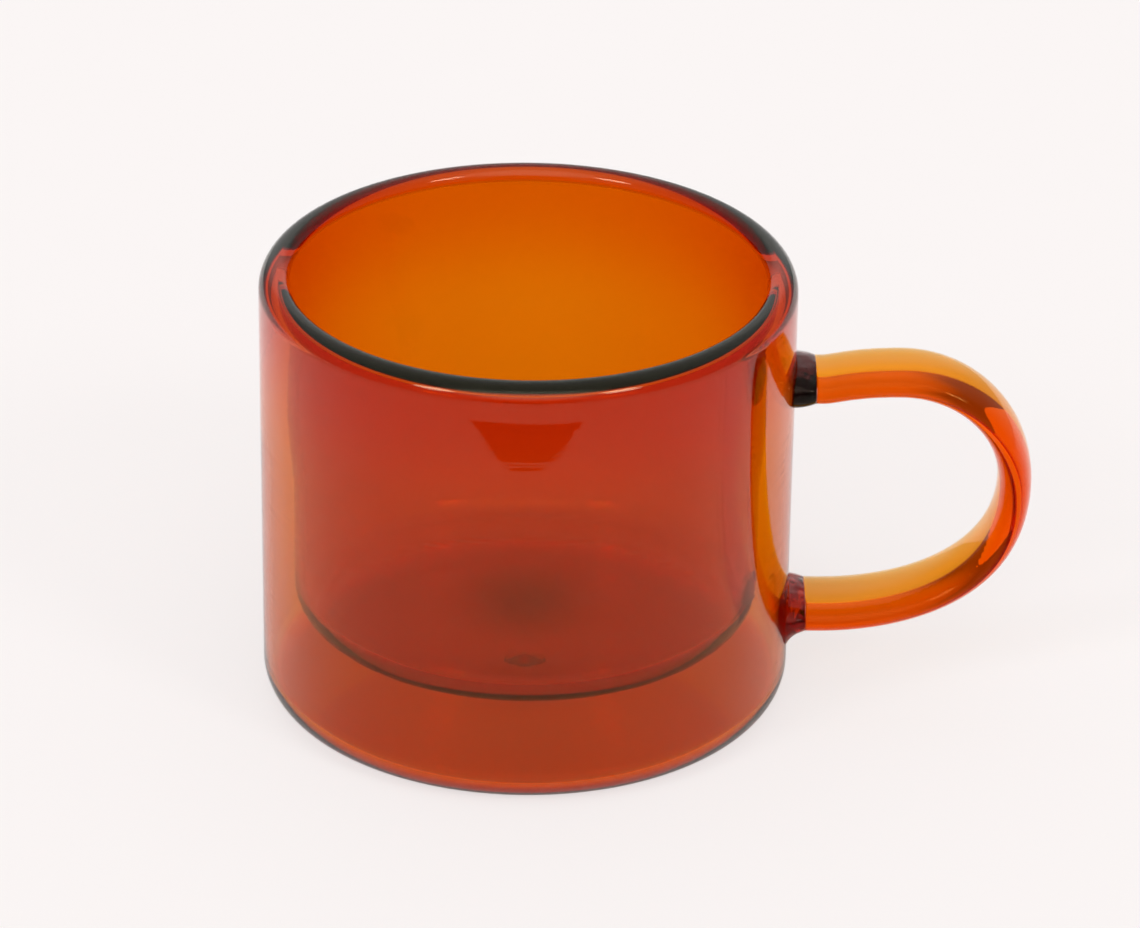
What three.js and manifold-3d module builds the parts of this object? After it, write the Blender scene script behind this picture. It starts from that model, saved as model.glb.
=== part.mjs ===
import * as THREE from "three";
import { mergeVertices } from "three/addons/utils/BufferGeometryUtils.js";
import Module from "manifold-3d";

// Double-wall espresso cup of flame-worked amber glass, in millimetres.
// The foot stands on z = 0, the cup turns about +Z and the handle points along +X.

// Jacket: the outer wall and the base dish that closes it
const cupHeight = 57; // foot to the crest of the lip
const bodyRadius = 33; // outside of the jacket at the rim joint
const footTaper = 0.3; // how far the jacket draws in from the rim joint to the base joint
const outerWall = 1.5;
const heelRadius = 4.5;
const heelLand = 1; // straight stretch of the dish above its inner heel
const baseThickness = 2;

// Rim: the fused bead that joins both lips
const shoulderRadius = 2.35; // crest of the lip out to the jacket
const lipRadius = 1.5; // crest of the lip in to the bowl
const rimThickness = 2.2; // solid glass between the crest and the air space
const rimLeg = 2.8; // height of the two legs that stand on the walls

// Inner cup
const airGap = 2.7; // air space between the two walls
const innerWall = 1.4;
const innerFloor = 1.8;
const floorHeight = 11; // underside of the inner cup above the table
const cornerRadius = 4.8; // outside corner of the inner cup
const flareLength = 12; // curved stretch of the inner cup below the rim joint

// Vent in the base and the pip that seals it
const ventRadius = 1.5;
const sealHeadRadius = 3;
const sealHeadDepth = 0.8;
const sealCrown = 0.8; // rounded end of the pip inside the air space

// Handle: a flattened rod, and the two welds that hold it
const handleWidth = 11;
const handleThickness = 4.2;
const handleReach = 27.4; // jacket to the outermost point of the rod's middle line
const upperRootDrop = 14.5; // crest of the lip down to the upper root
const lowerRootHeight = 11.2;
const crestRise = 1; // top of the upper arm above its root
const bendRadius = 14.4; // round upper bend
const upperArmPull = 1.5; // how soon the upper arm leaves its root's level
const crestPull = 6; // how far it keeps to the level at its crest
const lowerBendPull = 12.9; // how far the lower bend keeps to the vertical
const lowerArmPull = 12; // how far the lower arm keeps to the horizontal
const rootLead = 0.5; // straight stretch of the rod next to each weld
const weldLength = 2.7;
const weldFlare = 1; // how far a weld spreads where it meets the jacket

const seatClearance = 0.3; // between pieces whose curved faces meet

// Fineness of the faceted surfaces
const turnSegments = 56;
const sealSegments = 24;
const arcSteps = 3;
const sectionSteps = 10;
const handleSteps = 40;
const weldSteps = 6;

const halfTurn = Math.PI;
const quarterTurn = Math.PI / 2;
const arcPull = (4 / 3) * (Math.SQRT2 - 1); // control length of a quarter circle of radius 1

// Levels and radii that several pieces share
const rimJoint = cupHeight - rimThickness - rimLeg;
const heelInside = heelRadius - outerWall;
const baseJoint = baseThickness + heelInside + heelLand;
const footRadius = bodyRadius - footTaper;
const innerOutside = bodyRadius - outerWall - airGap;
const innerInside = innerOutside - innerWall;

// The inner wall flares to the lip on an arc that touches both the straight wall and the lip's arc.
const crestRadius = bodyRadius - shoulderRadius;
const lipLevel = cupHeight - lipRadius;
const flareStart = rimJoint - flareLength;
const flareRise = lipLevel - flareStart;
const crestOffset = crestRadius - innerInside;
const flareRadius = (flareRise ** 2 / (crestOffset - lipRadius) + crestOffset + lipRadius) / 2;
const flareCentre = innerInside + flareRadius;
const flareToLip = Math.atan2(flareRise, flareCentre - crestRadius);

// Angle on a flare arc of this radius at the rim joint, and the radius of the wall there.
const flareAngle = (arcRadius) => halfTurn - Math.asin(flareLength / arcRadius);
const flareEdge = (arcRadius) => flareCentre + arcRadius * Math.cos(flareAngle(arcRadius));

// Outside radius of the jacket's straight taper at any height.
function jacketRadius(z) {
  return bodyRadius - (footTaper * (rimJoint - z)) / (rimJoint - baseJoint);
}

const manifold = await Module();
manifold.setup();

function toSolid(geometry) {
  const bare = new THREE.BufferGeometry();
  bare.setAttribute("position", geometry.getAttribute("position"));
  bare.setIndex(geometry.index);
  const merged = mergeVertices(bare);
  const vertProperties = merged.getAttribute("position").array;
  const triVerts = new Uint32Array(merged.index.array);
  return new manifold.Manifold(new manifold.Mesh({ numProp: 3, vertProperties, triVerts }));
}

function toGeometry(solid) {
  const mesh = solid.getMesh();
  const geometry = new THREE.BufferGeometry();
  geometry.setAttribute("position", new THREE.BufferAttribute(mesh.vertProperties, 3));
  geometry.setIndex(new THREE.BufferAttribute(mesh.triVerts, 1));
  geometry.computeVertexNormals();
  return geometry;
}

// Turns an outline, drawn as radius and height, about the cup's axis.
function turned(outline, segments = turnSegments) {
  return new THREE.LatheGeometry(outline.getPoints(arcSteps), segments).rotateX(quarterTurn);
}

function innerCup() {
  const outsideFlare = flareRadius - innerWall;
  const insideCorner = cornerRadius - innerWall;
  const floorTop = floorHeight + innerFloor;
  const outline = new THREE.Path();
  outline.moveTo(0, floorHeight);
  outline.lineTo(innerOutside - cornerRadius, floorHeight);
  outline.absarc(innerOutside - cornerRadius, floorHeight + cornerRadius, cornerRadius, -quarterTurn, 0);
  outline.absarc(flareCentre, flareStart, outsideFlare, halfTurn, flareAngle(outsideFlare), true);
  outline.lineTo(flareEdge(flareRadius), rimJoint);
  outline.absarc(flareCentre, flareStart, flareRadius, flareAngle(flareRadius), halfTurn);
  outline.absarc(innerInside - insideCorner, floorTop + insideCorner, insideCorner, 0, -quarterTurn, true);
  outline.lineTo(0, floorTop);
  return turned(outline);
}

function rimWeld() {
  const innerLeg = flareEdge(flareRadius - innerWall);
  const outerLeg = bodyRadius - outerWall;
  const archCentre = (innerLeg + outerLeg) / 2;
  const archHalf = (outerLeg - innerLeg) / 2;
  const outline = new THREE.Path();
  outline.moveTo(bodyRadius, rimJoint);
  outline.absarc(crestRadius, cupHeight - shoulderRadius, shoulderRadius, 0, quarterTurn);
  outline.absarc(crestRadius, lipLevel, lipRadius, quarterTurn, halfTurn - flareToLip);
  outline.absarc(flareCentre, flareStart, flareRadius, halfTurn - flareToLip, flareAngle(flareRadius));
  outline.absellipse(archCentre, rimJoint, archHalf, rimLeg, halfTurn, 0, true);
  outline.closePath();
  return turned(outline);
}

function outerJacket() {
  const outline = new THREE.Path();
  outline.moveTo(footRadius, baseJoint);
  outline.lineTo(bodyRadius, rimJoint);
  outline.lineTo(bodyRadius - outerWall, rimJoint);
  outline.lineTo(footRadius - outerWall, baseJoint);
  outline.closePath();
  return turned(outline);
}

function baseDish() {
  const insideRadius = footRadius - outerWall;
  const outline = new THREE.Path();
  outline.moveTo(sealHeadRadius, 0);
  outline.lineTo(footRadius - heelRadius, 0);
  outline.absarc(footRadius - heelRadius, heelRadius, heelRadius, -quarterTurn, 0);
  outline.lineTo(footRadius, baseJoint);
  outline.lineTo(insideRadius, baseJoint);
  outline.absarc(insideRadius - heelInside, baseThickness + heelInside, heelInside, 0, -quarterTurn, true);
  outline.lineTo(ventRadius, baseThickness);
  outline.lineTo(ventRadius, sealHeadDepth);
  outline.lineTo(sealHeadRadius, sealHeadDepth);
  outline.closePath();
  return turned(outline);
}

// The pip's head lies flush with the foot and stops against the step of the vent.
function ventSeal() {
  const headRadius = sealHeadRadius - seatClearance;
  const shankRadius = ventRadius - seatClearance;
  const outline = new THREE.Path();
  outline.moveTo(0, 0);
  outline.lineTo(headRadius, 0);
  outline.lineTo(headRadius, sealHeadDepth);
  outline.lineTo(shankRadius, sealHeadDepth);
  outline.absellipse(0, baseThickness, shankRadius, sealCrown, 0, quarterTurn);
  return turned(outline, sealSegments);
}

const rootX = bodyRadius + weldLength;
const upperRootHeight = cupHeight - upperRootDrop;

// Elliptic section of the rod: thickness along x, width along y.
function handleSection() {
  return new THREE.Shape().absellipse(0, 0, handleThickness / 2, handleWidth / 2, 0, 2 * halfTurn);
}

// Middle line of the rod, in the plane y = 0, from the upper weld round to the lower one.
function handleLine() {
  const at = (x, z) => new THREE.Vector3(x, 0, z);
  const leadX = rootX + rootLead;
  const outX = bodyRadius + handleReach;
  const crestX = outX - bendRadius;
  const crestZ = upperRootHeight + crestRise;
  const outZ = crestZ - bendRadius;
  const pull = arcPull * bendRadius;
  const upperLead = at(leadX, upperRootHeight);
  const lowerLead = at(leadX, lowerRootHeight);
  const crest = at(crestX, crestZ);
  const outermost = at(outX, outZ);
  const line = new THREE.CurvePath();
  line.add(new THREE.LineCurve3(at(rootX, upperRootHeight), upperLead));
  const upperArm = at(leadX + upperArmPull, upperRootHeight);
  line.add(new THREE.CubicBezierCurve3(upperLead, upperArm, at(crestX - crestPull, crestZ), crest));
  line.add(new THREE.CubicBezierCurve3(crest, at(crestX + pull, crestZ), at(outX, outZ + pull), outermost));
  const lowerBend = at(outX, outZ - lowerBendPull);
  const lowerArm = at(leadX + lowerArmPull, lowerRootHeight);
  line.add(new THREE.CubicBezierCurve3(outermost, lowerBend, lowerArm, lowerLead));
  line.add(new THREE.LineCurve3(lowerLead, at(rootX, lowerRootHeight)));
  return line;
}

function handleRod() {
  const extrudePath = handleLine();
  return new THREE.ExtrudeGeometry(handleSection(), {
    steps: handleSteps,
    curveSegments: sectionSteps,
    extrudePath,
  });
}

// A weld carries the rod's section to the jacket, spreads on the way and follows the jacket's curve.
function handleWeld(rootHeight) {
  const start = bodyRadius - outerWall;
  const collar = new THREE.ExtrudeGeometry(handleSection(), {
    depth: rootX - start,
    steps: weldSteps,
    curveSegments: sectionSteps,
    bevelEnabled: false,
  });
  collar.rotateY(quarterTurn).translate(start, 0, 0);
  const points = collar.getAttribute("position");
  for (let i = 0; i < points.count; i++) {
    const spread = weldFlare * ((rootX - points.getX(i)) / weldLength) ** 2;
    points.setY(i, points.getY(i) * (1 + (2 * spread) / handleWidth));
    points.setZ(i, points.getZ(i) * (1 + (2 * spread) / handleThickness));
  }
  collar.translate(0, 0, rootHeight);
  const jacket = new THREE.Path();
  jacket.moveTo(0, 0);
  jacket.lineTo(jacketRadius(0) + seatClearance, 0);
  jacket.lineTo(jacketRadius(cupHeight) + seatClearance, cupHeight);
  jacket.lineTo(0, cupHeight);
  return toGeometry(toSolid(collar).subtract(toSolid(turned(jacket))));
}

function addPiece(group, name, geometry, look) {
  const material = new THREE.MeshStandardMaterial({ metalness: 0, transparent: true, ...look });
  const mesh = new THREE.Mesh(geometry, material);
  mesh.name = name;
  group.add(mesh);
}

const amberGlass = { color: 0xc2520e, roughness: 0.05, opacity: 0.6 };
const rimGlass = { color: 0x8a3512, roughness: 0.05, opacity: 0.8 };
const handleGlass = { color: 0xe37c06, roughness: 0.05, opacity: 0.75 };
const weldGlass = { color: 0x3a120a, roughness: 0.08, opacity: 0.95 };

const body = new THREE.Group();
addPiece(body, "inner_cup", innerCup(), amberGlass);
addPiece(body, "outer_wall", outerJacket(), amberGlass);
addPiece(body, "rim_weld", rimWeld(), rimGlass);
addPiece(body, "base_dish", baseDish(), amberGlass);
addPiece(body, "vent_seal", ventSeal(), rimGlass);

const handle = new THREE.Group();
addPiece(handle, "handle", handleRod(), handleGlass);
addPiece(handle, "upper_handle_weld", handleWeld(upperRootHeight), weldGlass);
addPiece(handle, "lower_handle_weld", handleWeld(lowerRootHeight), weldGlass);

const cup = new THREE.Group();
cup.add(body, handle);

export default cup;
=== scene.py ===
import bpy
import numpy as np
from mathutils import Matrix, Vector


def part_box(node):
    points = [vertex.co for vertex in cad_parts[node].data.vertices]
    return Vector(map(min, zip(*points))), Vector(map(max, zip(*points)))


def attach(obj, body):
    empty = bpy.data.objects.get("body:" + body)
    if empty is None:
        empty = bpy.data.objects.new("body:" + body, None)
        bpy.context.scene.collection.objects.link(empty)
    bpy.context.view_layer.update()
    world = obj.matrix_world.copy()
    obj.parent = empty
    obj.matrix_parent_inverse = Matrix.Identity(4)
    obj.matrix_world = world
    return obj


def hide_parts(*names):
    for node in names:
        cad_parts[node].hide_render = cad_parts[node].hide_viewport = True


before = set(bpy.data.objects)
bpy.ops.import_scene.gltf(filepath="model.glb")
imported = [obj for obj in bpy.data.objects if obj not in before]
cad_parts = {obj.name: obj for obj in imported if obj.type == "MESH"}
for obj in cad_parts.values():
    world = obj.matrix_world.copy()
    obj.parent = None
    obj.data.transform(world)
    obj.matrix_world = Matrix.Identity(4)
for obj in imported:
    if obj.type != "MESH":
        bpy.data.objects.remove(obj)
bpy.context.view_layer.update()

mm = 0.001
samePoint = 0.002 * mm  # points of an outline that are nearer than this count as one
quarter, halfTurn, fullTurn = np.pi / 2, np.pi, 2 * np.pi

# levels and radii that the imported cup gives, in metres, with the foot on z = 0 and the handle along +x
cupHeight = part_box("rim_weld")[1].z
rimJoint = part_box("rim_weld")[0].z
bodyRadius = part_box("rim_weld")[1].y
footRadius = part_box("base_dish")[1].y
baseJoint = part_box("base_dish")[1].z
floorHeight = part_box("inner_cup")[0].z
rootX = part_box("upper_handle_weld")[1].x


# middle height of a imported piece: the mean of its lowest and highest corner
def middleHeight(node):
    low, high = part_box(node)
    return (low.z + high.z) / 2


# straight stretch: start + t (end - start)
def line(start, end, count=2):
    return np.linspace(start, end, count)


# round stretch: centre + radius (cos a, sin a), with a in radians
def arc(centre, radius, start, end, count=16):
    turn = np.linspace(start, end, count)
    return np.asarray(centre) + np.column_stack([np.cos(turn), np.sin(turn)]) * radius


# cubic curve on four points: the Bernstein sum (1-t)^3 a + 3 (1-t)^2 t b + 3 (1-t) t^2 c + t^3 d
def cubic(a, b, c, d, count=40):
    t = np.linspace(0, 1, count)[:, None]
    a, b, c, d = (np.asarray(p, float) for p in (a, b, c, d))
    return (1 - t) ** 3 * a + 3 * (1 - t) ** 2 * t * b + 3 * (1 - t) * t**2 * c + t**3 * d


# stretches put end to end, with the points that repeat at their joints taken out
def joined(*stretches):
    path = np.vstack(stretches)
    step = np.linalg.norm(np.diff(path, axis=0), axis=1)
    return path[np.append(True, step > samePoint)]


# parabola from p to q that leaves and arrives along the lines to a corner:
# (1-t)^2 p + 2 (1-t) t corner + t^2 q
def parabola(p, corner, q, count=7):
    t = np.linspace(0, 1, count)[:, None]
    return (1 - t) ** 2 * p + 2 * (1 - t) * t * np.asarray(corner) + t**2 * q


# a path of corners with each inner corner cut back by a length and eased by a parabola
def eased(corners, cut):
    corners = np.asarray(corners, float)
    stretches = [corners[:1]]
    for before, corner, after in zip(corners, corners[1:], corners[2:]):
        p = corner + (before - corner) * cut / np.linalg.norm(before - corner)
        q = corner + (after - corner) * cut / np.linalg.norm(after - corner)
        stretches.append(parabola(p, corner, q))
    return joined(*stretches, corners[-1:])


# upper meeting point of two circles, of radius a and b and with their centres d apart:
# (a^2 - b^2 + d^2) / 2d along the line of their centres, then up its normal
def meeting(first, a, second, b):
    first, second = np.asarray(first), np.asarray(second)
    apart = np.linalg.norm(second - first)
    along = (a**2 - b**2 + apart**2) / (2 * apart)
    step = (second - first) / apart
    return first + along * step + np.sqrt(a**2 - along**2) * np.array([-step[1], step[0]])


# a path spaced anew, in even steps along its length
def evenly(path, count):
    along = np.append(0, np.cumsum(np.linalg.norm(np.diff(path, axis=0), axis=1)))
    even = np.linspace(0, along[-1], count)
    return np.column_stack([np.interp(even, along, path[:, 0]), np.interp(even, along, path[:, 1])])


# outline of (radius, height) turned about the axis: x = r cos a, y = r sin a, z = height
def turned(outline, count):
    angle = np.linspace(0, fullTurn, count, endpoint=False)
    radius, height = outline[:, :1], outline[:, 1:]
    return np.stack([radius * np.cos(angle), radius * np.sin(angle), height + 0 * angle], axis=2)


# a grid of rows x columns whose columns close on themselves and whose first and last rows are points:
# quads between the rows and a fan of triangles at each end
def closedSkin(grid):
    rows, columns = grid.shape[:2]
    rings = grid[1:-1].reshape(-1, 3)
    vertices = np.vstack([rings, grid[0, :1], grid[-1, :1]])
    here = np.arange((rows - 2) * columns).reshape(rows - 2, columns)
    beside = np.roll(here, -1, axis=1)
    quads = np.stack([here[:-1], beside[:-1], beside[1:], here[1:]], axis=2).reshape(-1, 4)
    first = np.full(columns, len(rings))
    startFan = np.stack([first, beside[0], here[0]], axis=1)
    endFan = np.stack([first + 1, here[-1], beside[-1]], axis=1)
    return vertices, quads.tolist() + startFan.tolist() + endFan.tolist()


# smooth piece with a grid's closed skin, on the cup's one body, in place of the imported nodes
def addPiece(name, grid, material, nodes):
    vertices, faces = closedSkin(grid)
    mesh = bpy.data.meshes.new(name)
    mesh.from_pydata(vertices.tolist(), [], faces)
    mesh.polygons.foreach_set("use_smooth", np.ones(len(faces), bool))
    mesh.materials.append(material)
    mesh.update()
    piece = bpy.data.objects.new(name, mesh)
    bpy.context.scene.collection.objects.link(piece)
    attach(piece, "root")
    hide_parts(*nodes)
    print("piece", name, len(vertices), "vertices, stands for", ", ".join(nodes))
    return piece


# one output socket; arithmetic on it adds Math nodes
class Wire:
    def __init__(self, board, socket):
        self.board = board
        self.socket = socket

    # another output of the same node
    def other(self, name):
        return Wire(self.board, self.socket.node.outputs[name])

    def maths(self, operation, left, right):
        return self.board.add("Math", {"operation": operation}, {0: left, 1: right})

    def __add__(self, value):
        return self.maths("ADD", self, value)

    def __radd__(self, value):
        return self.maths("ADD", value, self)

    def __mul__(self, value):
        return self.maths("MULTIPLY", self, value)

    def __rmul__(self, value):
        return self.maths("MULTIPLY", value, self)


# a material's or the world's node tree
class Board:
    def __init__(self, holder):
        holder.use_nodes = True
        self.tree = holder.node_tree
        self.tree.nodes.clear()

    # a node of any kind: its settings first, then a value or a link for each socket
    def add(self, kind, settings=None, sockets=None, output=0):
        node = self.tree.nodes.new("ShaderNode" + kind)
        for name, value in (settings or {}).items():
            setattr(node, name, value)
        for name, value in (sockets or {}).items():
            if isinstance(value, Wire):
                self.tree.links.new(value.socket, node.inputs[name])
            else:
                node.inputs[name].default_value = value
        return Wire(self, node.outputs[output]) if node.outputs else None

    # noise on Object coordinates, stretched by a scale along each axis, per metre
    def noise(self, stretch, detail):
        place = self.add("TexCoord", output="Object")
        scaled = self.add("Mapping", {}, {"Vector": place, "Scale": stretch})
        return self.add("TexNoise", {}, {"Vector": scaled, "Scale": 1.0, "Detail": detail})

    # a value's stretch from low to high carried over to start and end, and held there beyond it
    def carried(self, value, low, high, start, end, ease="LINEAR"):
        stops = {0: value, 1: low, 2: high, 3: start, 4: end}
        return self.add("MapRange", {"interpolation_type": ease}, stops)

    # two tones, or a tone's wire and a tone, mixed by a wire from 0 to 1
    def toneBetween(self, mask, low, high):
        start = low if isinstance(low, Wire) else (*low, 1)
        stops = {"Factor": mask, "A": start, "B": (*high, 1)}
        return self.add("Mix", {"data_type": "RGBA"}, stops, "Result")


# clear glass: a Principled surface that lets all light through, with a body that takes the given amount
# of red, green and blue out of each metre of the light's way, as density (1 - colour)
def clearGlass(board, finish, height, haze, tone):
    deepest = max(finish["takes"])
    relief = board.add("Bump", {}, {"Strength": 1.0, "Distance": finish["relief"], "Height": height})
    surface = board.add("BsdfPrincipled", {}, {
        "Base Color": tone,
        "Roughness": haze,
        "IOR": finish["ior"],
        "Specular Tint": (*finish["shine"], 1),
        "Transmission Weight": 1.0,
        "Normal": relief,
    })
    colour = [1 - amount / deepest for amount in finish["takes"]]
    inside = board.add("VolumeAbsorption", {}, {"Color": (*colour, 1), "Density": deepest})
    board.add("OutputMaterial", {}, {"Surface": surface, "Volume": inside})


# glass of the two walls, the rim and the base: level ripples left by turning in the flame, faint smears
amberGlass = dict(
    takes=(105, 670, 2800),  # per metre, in red, green and blue
    ior=1.47,
    shine=(0.7, 0.66, 0.45),  # share of the plain glass reflection
    relief=0.006 * mm,
    ripple=(14, 14, 1100),  # long round the cup, short up the wall
    rippleDetail=2.0,
    smear=(60, 60, 25),
    smearDetail=4.0,
    hazeStart=0.5,  # smear at which the haze starts, and at which it is full
    hazeFull=0.8,
    haze=0.03,
    paleTone=(1.0, 1.0, 1.0),
    deepTone=(0.97, 0.93, 0.88),
    spot=(0, 0, 12 * mm),  # middle of the bowl's floor, where a spot adds haze and a painted shade
    spotFull=1.5 * mm,
    spotFaded=11 * mm,
    spotHaze=0.25,
    # painted shade: the tone that darkens the spot in the middle of the bowl's floor
    paintedShadeSpotTone=(0.7, 0.72, 0.75),
    baseFull=1.8 * mm,  # darker, redder tone in the base, full up to this height
    baseFaded=3.4 * mm,
    baseTone=(1.0, 0.42, 0.35),
)


# haze: the smears' plus the spot's; tone: the smears', with the spot's painted shade and then the base's
# darker, redder tone laid over it
def amberGlassMaterial(finish):
    material = bpy.data.materials.new("amber_glass")
    board = Board(material)
    ripple = board.noise(finish["ripple"], finish["rippleDetail"])
    smear = board.noise(finish["smear"], finish["smearDetail"])
    smearHaze = board.carried(smear, finish["hazeStart"], finish["hazeFull"], 0.0, finish["haze"])
    smearTone = board.toneBetween(smear, finish["paleTone"], finish["deepTone"])
    place = board.add("TexCoord", output="Object")
    away = board.add("VectorMath", {"operation": "DISTANCE"}, {0: place, 1: finish["spot"]}, "Value")
    spot = board.carried(away, finish["spotFull"], finish["spotFaded"], 1.0, 0.0, "SMOOTHSTEP")
    haze = smearHaze + finish["spotHaze"] * spot
    height = board.add("SeparateXYZ", {}, {"Vector": place}, "Z")
    base = board.carried(height, finish["baseFull"], finish["baseFaded"], 1.0, 0.0, "SMOOTHSTEP")
    # the spot's painted shade, laid over the smears' tone
    tone = board.toneBetween(spot, smearTone, finish["paintedShadeSpotTone"])
    tone = board.toneBetween(base, tone, finish["baseTone"])
    clearGlass(board, finish, ripple, haze, tone)
    return material


# glass of the handle: lighter, with drawn lines that follow the rod
handleGlass = dict(
    takes=(12, 205, 2400),
    ior=1.47,
    shine=(0.3, 0.2, 0.08),
    relief=0.004 * mm,
    uneven=(60, 500, 60),  # fine across the rod, long in its plane
    unevenDetail=2.0,
    hazeStart=0.5,
    hazeFull=0.8,
    haze=0.02,
    paleTone=(1.0, 1.0, 1.0),
    deepTone=(0.98, 0.95, 0.9),
)

# glass of the welds: lumpy, and dark by painted shade that stands in for the dark look of the fused joints
weldGlassPaintedShade = dict(
    # painted shade: this strong absorption darkens the weld glass
    takes=(420, 1600, 4200),
    ior=1.47,
    shine=(0.35, 0.3, 0.25),
    relief=0.3 * mm,
    uneven=(420, 420, 420),
    unevenDetail=1.0,
    hazeStart=0.3,
    hazeFull=0.8,
    haze=0.06,
    paleTone=(1.0, 1.0, 1.0),
    deepTone=(0.8, 0.7, 0.65),
)

# the lower weld is thinner and lets more red through
lowerWeldGlass = dict(weldGlassPaintedShade, takes=(85, 480, 3200))

# the vent's pip: amber, a little deeper than the base round it
sealGlass = dict(weldGlassPaintedShade, takes=(260, 1200, 3500), relief=0.03 * mm, haze=0.3)


# one noise gives the relief, the haze and the tone
def unevenGlassMaterial(name, finish):
    material = bpy.data.materials.new(name)
    board = Board(material)
    uneven = board.noise(finish["uneven"], finish["unevenDetail"])
    haze = board.carried(uneven, finish["hazeStart"], finish["hazeFull"], 0.0, finish["haze"])
    tone = board.toneBetween(uneven, finish["paleTone"], finish["deepTone"])
    clearGlass(board, finish, uneven, haze, tone)
    return material


# the two walls, the rim and the base, fused into one body
cupBody = dict(
    wall=1.05 * mm,  # jacket
    rimWall=1.8 * mm,  # jacket at the rim
    thinning=15 * mm,  # stretch below the rim joint over which it thins
    base=1.3 * mm,
    baseHill=1.3 * mm,  # the base is thickest in the middle, round the vent
    baseHillRadius=6 * mm,
    heel=4.5 * mm,
    lipInset=2.35 * mm,  # crest of the lip in from the jacket
    lip=1.5 * mm,  # radius from the crest in to the bowl
    shoulder=2.35 * mm,  # radius from the crest out to the jacket
    bead=2.0 * mm,  # solid glass from the crest down to the air space
    arch=0.7 * mm,  # radius at the air space's top, on the jacket's side
    tip=0.3 * mm,  # rounding where this arch meets the inner wall
    airGap=3.15 * mm,
    innerWall=1.35 * mm,
    innerFloor=1.8 * mm,
    corner=4.8 * mm,
    flare=12.0 * mm,  # curved stretch of the bowl below the rim joint
    vent=0.3 * mm,  # radius of the channel that the pip seals
    ease=0.1 * mm,  # softened edges of the channel
    floorDrop=0.8 * mm,  # the bowl's floor is thickest in the middle
    floorDropRadius=9 * mm,
    segments=240,
)


# height at a distance from the axis, a bell curve: top exp(-(r / width)^2)
def bell(radius, top, width):
    return top * np.exp(-((radius / width) ** 2))


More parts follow.
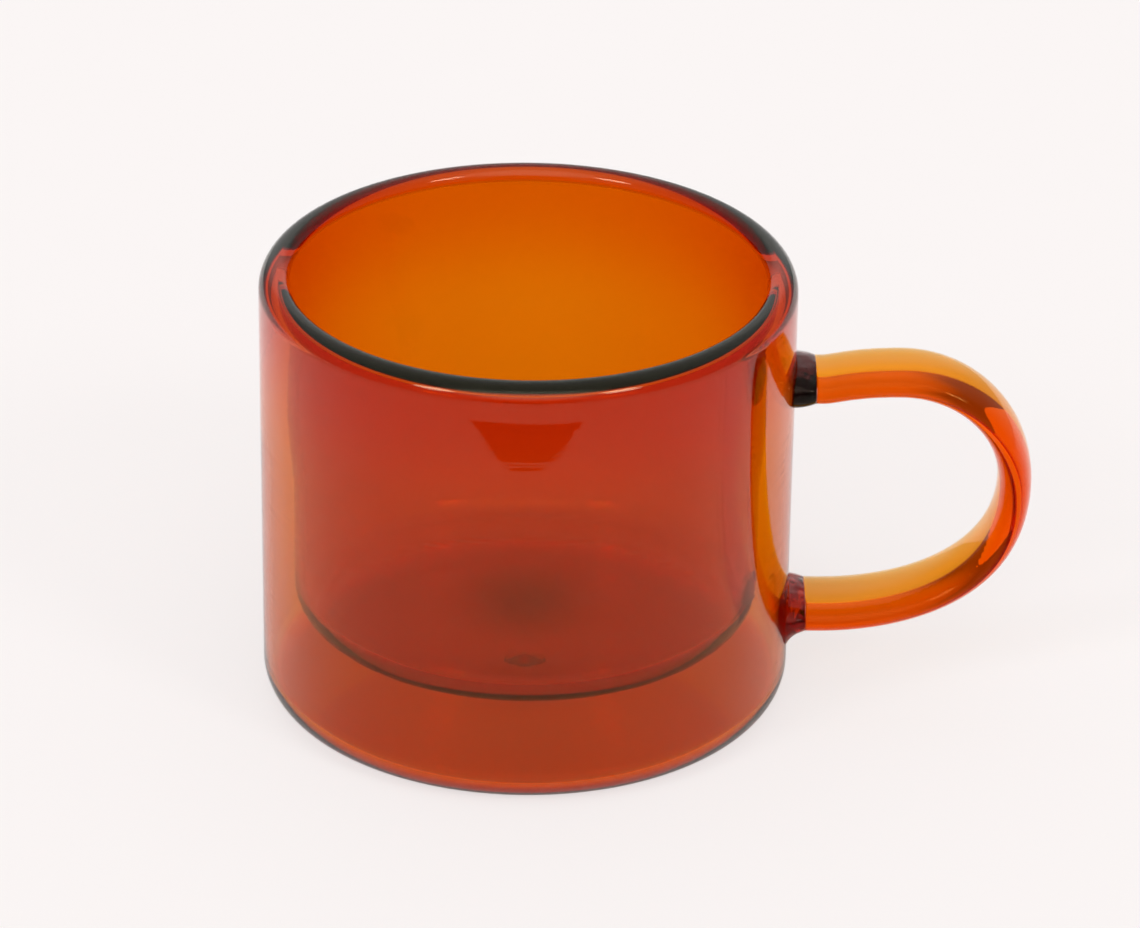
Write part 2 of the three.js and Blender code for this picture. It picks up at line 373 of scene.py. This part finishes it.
# The body's skin is one outline. It starts on the axis under the bowl's floor and goes round the air
# space to the vent, out through the vent, along the foot, up the jacket, over the rim and down the bowl
# to the axis. The last number of each stretch is its count of points.
def cupOutline(c):
    innerOutside = bodyRadius - c["wall"] - c["airGap"]
    innerInside = innerOutside - c["innerWall"]
    jacketInside = bodyRadius - c["wall"]
    footInside = footRadius - c["wall"]
    heelInside = c["heel"] - c["wall"]
    cornerInside = c["corner"] - c["innerWall"]
    floorTop = floorHeight + c["innerFloor"]

    # the shoulder touches the jacket and the lip's arc: their centres are shoulder - lip apart
    crest = bodyRadius - c["lipInset"]
    lipLevel = cupHeight - c["lip"]
    shoulderCentre = bodyRadius - c["shoulder"]
    shoulderRise = np.sqrt((c["shoulder"] - c["lip"]) ** 2 - (crest - shoulderCentre) ** 2)
    shoulderLevel = lipLevel - shoulderRise
    shoulderEnd = np.arctan2(shoulderRise, crest - shoulderCentre)

    # the flare is an arc that touches the straight wall and the lip's arc
    flareStart = rimJoint - c["flare"]
    flareRise = lipLevel - flareStart
    crestOffset = crest - innerInside
    flareRadius = (flareRise**2 / (crestOffset - c["lip"]) + crestOffset + c["lip"]) / 2
    flareCentre = innerInside + flareRadius
    flareEnd = halfTurn - np.arctan2(flareRise, flareCentre - crest)

    # the air space narrows between the flare's back and an arch off the jacket, and ends in an eased tip
    behindFlare = flareRadius - c["innerWall"]
    archCentre = bodyRadius - c["rimWall"] - c["arch"]
    archLevel = cupHeight - c["bead"] - c["arch"]
    tip = meeting((archCentre, archLevel), c["arch"], (flareCentre, flareStart), behindFlare)
    tipOnFlare = np.arctan2(tip[1] - flareStart, tip[0] - flareCentre) + c["tip"] / behindFlare
    tipOnArch = np.arctan2(tip[1] - archLevel, tip[0] - archCentre) - c["tip"] / c["arch"]
    inside = arc((flareCentre, flareStart), behindFlare, halfTurn, tipOnFlare, 16)
    outer = arc((archCentre, archLevel), c["arch"], tipOnArch, 0, 12)

    # the jacket thins from the arch down to its straight stretch
    straight = line((jacketInside, rimJoint), (footInside, baseJoint), 60)
    straight = straight[straight[:, 1] < rimJoint - c["thinning"]]
    pull = np.array([0, c["thinning"] / 2])

    underFloor = line((0, floorHeight), (innerOutside - c["corner"], floorHeight), 40)
    underFloor[:, 1] -= bell(underFloor[:, 0], c["floorDrop"], c["floorDropRadius"])
    airSpace = [
        underFloor,
        arc((innerOutside - c["corner"], floorHeight + c["corner"]), c["corner"], -quarter, 0, 18),
        line((innerOutside, floorHeight + c["corner"]), (innerOutside, flareStart), 14),
        inside,
        parabola(inside[-1], tip, outer[0]),
        outer,
        cubic(outer[-1], outer[-1] - pull, straight[0] + pull, straight[0], 24),
        straight,
        arc((footInside - heelInside, c["base"] + heelInside), heelInside, 0, -quarter, 14),
    ]
    baseTop = line((footInside - heelInside, c["base"]), (c["vent"], c["base"]), 50)
    baseTop[:, 1] += bell(baseTop[:, 0], c["baseHill"], c["baseHillRadius"])
    vent = eased([baseTop[-2], baseTop[-1], (c["vent"], 0), (footRadius - c["heel"], 0)], c["ease"])
    outside = [
        arc((footRadius - c["heel"], c["heel"]), c["heel"], -quarter, 0, 20),
        line((footRadius, c["heel"]), (footRadius, baseJoint), 3),
        line((footRadius, baseJoint), (bodyRadius, rimJoint), 20),
        arc((shoulderCentre, shoulderLevel), c["shoulder"], 0, shoulderEnd, 20),
        arc((crest, lipLevel), c["lip"], shoulderEnd, flareEnd, 28),
        arc((flareCentre, flareStart), flareRadius, flareEnd, halfTurn, 16),
        line((innerInside, flareStart), (innerInside, floorTop + cornerInside), 14),
        arc((innerInside - cornerInside, floorTop + cornerInside), cornerInside, 0, -quarter, 16),
        line((innerInside - cornerInside, floorTop), (0, floorTop), 24),
    ]
    return joined(*airSpace, baseTop[:-2], vent, *outside)


# seal of the vent: a low drop of melted glass on the base, inside the air space
ventPip = dict(radius=2.6 * mm, crown=1.0 * mm, gap=0.03 * mm, segments=96)


# flat underside and a low hill: crown (1 + cos(pi r / radius)) / 2
def pipOutline(p):
    seat = cupBody["base"] + cupBody["baseHill"] + p["gap"]
    radius = np.linspace(p["radius"], 0, 24)
    hill = p["crown"] * (1 + np.cos(halfTurn * radius / p["radius"])) / 2
    return joined(line((0, seat), (p["radius"], seat), 10), np.column_stack([radius, seat + hill]))


# D-shaped rod with a rounded strap section, a little wider towards its lower end
handleRod = dict(
    thickness=4.2 * mm,
    upperWidth=10.4 * mm,
    lowerWidth=11.8 * mm,
    power=2.15,  # 2 is an ellipse
    bend=14.4 * mm,  # radius of the upper bend
    lowerBendPull=12.9 * mm,  # how far the lower bend keeps to the vertical
    lowerArmPull=12.0 * mm,  # how far the lower arm keeps to the level
    lead=0.5 * mm,  # straight stretch next to each weld
    upperReach=0.3 * mm,  # how far the ends go into the welds
    lowerReach=0.9 * mm,
    rise=1.5 * mm,  # how soon the upper arm leaves the level
    crestPull=6.0 * mm,  # how far it keeps to the level at its crest
    weldGap=0.03 * mm,
    rows=260,
    capRings=(0, 0.5, 0.97),  # sizes of the rings that close the ends, as shares of the section
)


# flattened round section, as (across, through) about its middle: a (|cos t|^(2/n), |sin t|^(2/n)) with
# signs, where n = 2 is an ellipse and a higher power is squarer; drawn finely, then spaced evenly round
def strapSection(width, thickness, power, count=56, fine=721):
    turn = np.linspace(0, fullTurn, fine)
    shape = np.column_stack([np.cos(turn), np.sin(turn)])
    shape = np.sign(shape) * np.abs(shape) ** (2 / power) * [width / 2, thickness / 2]
    return evenly(shape, count + 1)[:-1]


# middle line of the rod in (x, z): lead, rising upper arm, quarter bend, lower sweep, lead;
# then spaced evenly along its length
def handleLine(h):
    low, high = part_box("handle")
    half = h["thickness"] / 2
    upper, lower = middleHeight("upper_handle_weld"), middleHeight("lower_handle_weld")
    upperEnd = rootX + h["weldGap"] - h["upperReach"]
    lowerEnd = rootX + h["weldGap"] - h["lowerReach"]
    leadX = rootX + h["lead"]
    outX, crestZ = high.x - half, high.z - half
    crestX, outZ = outX - h["bend"], crestZ - h["bend"]
    pull = h["bend"] * 4 / 3 * (np.sqrt(2) - 1)  # with it a cubic is nearly a quarter circle
    riseX, crestStart = leadX + h["rise"], crestX - h["crestPull"]
    sweepZ, armX = outZ - h["lowerBendPull"], leadX + h["lowerArmPull"]
    path = joined(
        line((upperEnd, upper), (leadX, upper), 4),
        cubic((leadX, upper), (riseX, upper), (crestStart, crestZ), (crestX, crestZ)),
        cubic((crestX, crestZ), (crestX + pull, crestZ), (outX, outZ + pull), (outX, outZ)),
        cubic((outX, outZ), (outX, sweepZ), (armX, lower), (leadX, lower)),
        line((leadX, lower), (lowerEnd, lower), 4),
    )
    return evenly(path, h["rows"])


# the section carried along the middle line: point + across y + through n, where n is the line's normal
# in its plane; both ends close with rings that shrink to the middle line
def handleGrid(h):
    path = handleLine(h)
    tangent = np.gradient(path, axis=0)
    tangent /= np.linalg.norm(tangent, axis=1)[:, None]
    normal = np.column_stack([-tangent[:, 1], tangent[:, 0]])
    section = strapSection(h["upperWidth"], h["thickness"], h["power"])
    grow = np.linspace(1, h["lowerWidth"] / h["upperWidth"], len(path))
    cap = np.array(h["capRings"])
    row = np.concatenate([[0] * len(cap), np.arange(len(path)), [len(path) - 1] * len(cap)])
    scale = np.concatenate([cap, np.ones(len(path)), cap[::-1]])[:, None]
    across = section[:, 0] * scale * grow[row][:, None]
    through = section[:, 1] * scale
    x = path[row, :1] + through * normal[row, :1]
    z = path[row, 1:] + through * normal[row, 1:]
    return np.stack([x, across, z], axis=2)


# collars of melted glass between the rod and the jacket
handleWeld = dict(flare=0.55 * mm, wallGap=0.03 * mm, rows=18, capRows=8)
upperWeld = dict(
    handleWeld,
    width=handleRod["upperWidth"],
    end=rootX - handleRod["upperReach"],
    tail=0.0,
)
lowerWeld = dict(
    handleWeld,
    width=handleRod["lowerWidth"],
    end=rootX - handleRod["lowerReach"],
    tail=2.0 * mm,  # how far its lower half runs down the jacket
)


# the rod's section carried in to the jacket: it spreads by flare (1 - u^2) on the way and its lower half
# runs down by tail (1 - u)^3; its inner end lies on the jacket, x = sqrt(R(z)^2 - y^2), and its outer end
# is flat
def weldGrid(node, w):
    thickness = handleRod["thickness"]
    section = strapSection(w["width"], thickness, handleRod["power"])
    inward = np.linspace(0, 1, w["capRows"], endpoint=False)
    u = np.concatenate([0 * inward, np.linspace(0, 1, w["rows"]), 0 * inward + 1])[:, None]
    scale = np.concatenate([inward, np.ones(w["rows"]), inward[::-1]])[:, None]
    spread = 2 * w["flare"] * (1 - u**2)
    y = section[:, 0] * scale * (1 + spread / w["width"])
    through = section[:, 1] * scale
    run = np.minimum(through / thickness, 0) * 2 * w["tail"] * (1 - u) ** 3
    z = middleHeight(node) + through * (1 + spread / thickness) + run
    taper = (bodyRadius - footRadius) * (rimJoint - z) / (rimJoint - baseJoint)
    jacket = bodyRadius - taper + w["wallGap"]
    x = (1 - u) * np.sqrt(jacket**2 - y**2) + u * w["end"]
    return np.stack([x, y, z], axis=2)


addPiece("cup_body", turned(cupOutline(cupBody), cupBody["segments"]), amberGlassMaterial(amberGlass),
         ["inner_cup", "outer_wall", "rim_weld", "base_dish"])
addPiece("vent_pip", turned(pipOutline(ventPip), ventPip["segments"]),
         unevenGlassMaterial("seal_glass", sealGlass), ["vent_seal"])
addPiece("strap_handle", handleGrid(handleRod),
         unevenGlassMaterial("handle_glass", handleGlass), ["handle"])
# the upper collar's dark glass is painted shade
addPiece("upper_collar", weldGrid("upper_handle_weld", upperWeld),
         unevenGlassMaterial("weld_glass", weldGlassPaintedShade), ["upper_handle_weld"])
addPiece("lower_collar", weldGrid("lower_handle_weld", lowerWeld),
         unevenGlassMaterial("lower_weld_glass", lowerWeldGlass), ["lower_handle_weld"])

# pale paper that the cup stands on
floorSheet = dict(
    colour=(0.965, 0.922, 0.913),
    roughness=0.85,
    glow=(0.75, 0.2),  # share of its colour that no shadow takes: as seen, and through glass
    half=3.0,
    below=0.05 * mm,  # the foot stands a hair above it
)

# dark card that the front wall mirrors
darkCard = dict(
    colour=(0.02, 0.018, 0.018),
    roughness=0.9,
    glow=(0.0, 0.0),
    near=121 * mm,  # from the cup's axis to its straight edge
    nearHalf=22 * mm,
    far=138 * mm,  # and to its round edge
    farTurn=np.radians(22),  # half the angle of the round edge
    below=0.03 * mm,
)

# grain of both sheets, whose darkest tone is a share of the colour
sheetGrain = dict(scale=(90, 90, 90), detail=5.0, tone=0.985)


# matt sheet, of which a share shows as its own even colour: one share to the camera, one in glass
def sheetMaterial(name, sheet):
    material = bpy.data.materials.new(name)
    board = Board(material)
    colour = sheet["colour"]
    grain = board.noise(sheetGrain["scale"], sheetGrain["detail"])
    tone = board.toneBetween(grain, [sheetGrain["tone"] * part for part in colour], colour)
    matt = board.add("BsdfPrincipled", {}, {"Base Color": tone, "Roughness": sheet["roughness"]})
    even = board.add("Emission", {}, {"Color": (*colour, 1), "Strength": 1.0})
    seen = board.add("LightPath", output="Is Camera Ray")
    asSeen, inGlass = sheet["glow"]
    share = asSeen * seen + inGlass * (seen.other("Is Glossy Ray") + seen.other("Is Transmission Ray"))
    surface = board.add("MixShader", {}, {0: share, 1: matt, 2: even})
    board.add("OutputMaterial", {}, {"Surface": surface})
    return material


# a level sheet inside its corners (x, y), facing up
def stageSheet(name, corners, below, material):
    mesh = bpy.data.meshes.new(name)
    vertices = np.column_stack([corners, np.full(len(corners), -below)])
    mesh.from_pydata(vertices.tolist(), [], [range(len(corners))])
    mesh.materials.append(material)
    sheet = bpy.data.objects.new(name, mesh)
    bpy.context.scene.collection.objects.link(sheet)
    return sheet


# corners of the card: an arc about the cup's axis, and a shorter straight edge nearer to the cup
def cardCorners(c):
    roundEdge = arc((0, 0), c["far"], -quarter - c["farTurn"], -quarter + c["farTurn"], 25)
    return np.vstack([roundEdge, (c["nearHalf"], -c["near"]), (-c["nearHalf"], -c["near"])])


floorCorners = floorSheet["half"] * np.array([(-1, -1), (1, -1), (1, 1), (-1, 1)])
stageSheet("floor", floorCorners, floorSheet["below"], sheetMaterial("floor_paper", floorSheet))
card = stageSheet("dark_card", cardCorners(darkCard), darkCard["below"], sheetMaterial("card_felt", darkCard))
card.visible_camera = False  # it shows in reflections alone, and throws no shadow
card.visible_diffuse = False
card.visible_transmission = False
card.visible_shadow = False

# a dim room with soft lights
light = dict(
    room=0.3,
    lamps=[  # middle of the lamp, level, angle of its full part and of its faded edge
        ((0.0, -0.7, 0.72), 1.65, 14, 34),  # wide, in front
        ((0.0, 0.2, 0.98), 0.5, 25, 60),  # weak, overhead
        ((0.0, -0.98, 0.12), -0.27, 12, 24),  # the dark side that the camera stands on
        ((0.0, 0.97, 0.24), 0.42, 12, 30),  # the pale wall behind
        ((-0.55, -0.58, 0.6), 12.0, 5, 9),  # a small soft box on each side
        ((0.55, -0.58, 0.6), 12.0, 5, 9),
    ],
)


# level by direction: the room's, plus each lamp's where the angle to its middle is small
def studioLight(s):
    world = bpy.data.worlds.new("studio")
    bpy.context.scene.world = world
    board = Board(world)
    direction = board.add("TexCoord", output="Generated")
    level = s["room"]
    for middle, strength, full, faded in s["lamps"]:
        toLamp = Vector(middle).normalized()
        near = board.add("VectorMath", {"operation": "DOT_PRODUCT"}, {0: direction, 1: toLamp}, "Value")
        edge, core = np.cos(np.radians([faded, full]))
        level = level + board.carried(near, edge, core, 0.0, strength, "SMOOTHSTEP")
    glow = board.add("Background", {}, {"Color": (1, 1, 1, 1), "Strength": level})
    board.add("OutputWorld", {}, {"Surface": glow})


studioLight(light)
print("light and floor are in place")

# view of the photograph, whose picture is 1140 pixels wide
view = dict(
    elevation=np.radians(27.33),
    roll=np.radians(0.75),
    distance=900 * mm,
    pivot=(0, 0, 27 * mm),
    aim=(5.35 * mm, 0, 30.4 * mm),
    focalPixels=7263,
    imageWidth=1140,
)


# the camera stands on the circle of its elevation about the pivot, looks at the aim and leans by the roll
def placeCamera(v):
    data = bpy.data.cameras.new("camera")
    data.sensor_fit = "HORIZONTAL"
    data.lens = data.sensor_width * v["focalPixels"] / v["imageWidth"]
    back = Vector((0, -np.cos(v["elevation"]), np.sin(v["elevation"])))
    place = Vector(v["pivot"]) + back * v["distance"]
    forward = (Vector(v["aim"]) - place).normalized()
    right = forward.cross(Vector((0, 0, 1))).normalized()
    turn = Matrix((right, right.cross(forward), -forward)).transposed()
    camera = bpy.data.objects.new("camera", data)
    camera.matrix_world = Matrix.Translation(place) @ (turn @ Matrix.Rotation(v["roll"], 3, "Z")).to_4x4()
    bpy.context.scene.collection.objects.link(camera)
    bpy.context.scene.camera = camera


placeCamera(view)

# glass needs long light paths: through eight skins, and guided along the walls
paths = bpy.context.scene.cycles
paths.max_bounces = 40
paths.transmission_bounces = 36
paths.glossy_bounces = 24
paths.diffuse_bounces = 4
bpy.context.scene.view_settings.view_transform = "Standard"
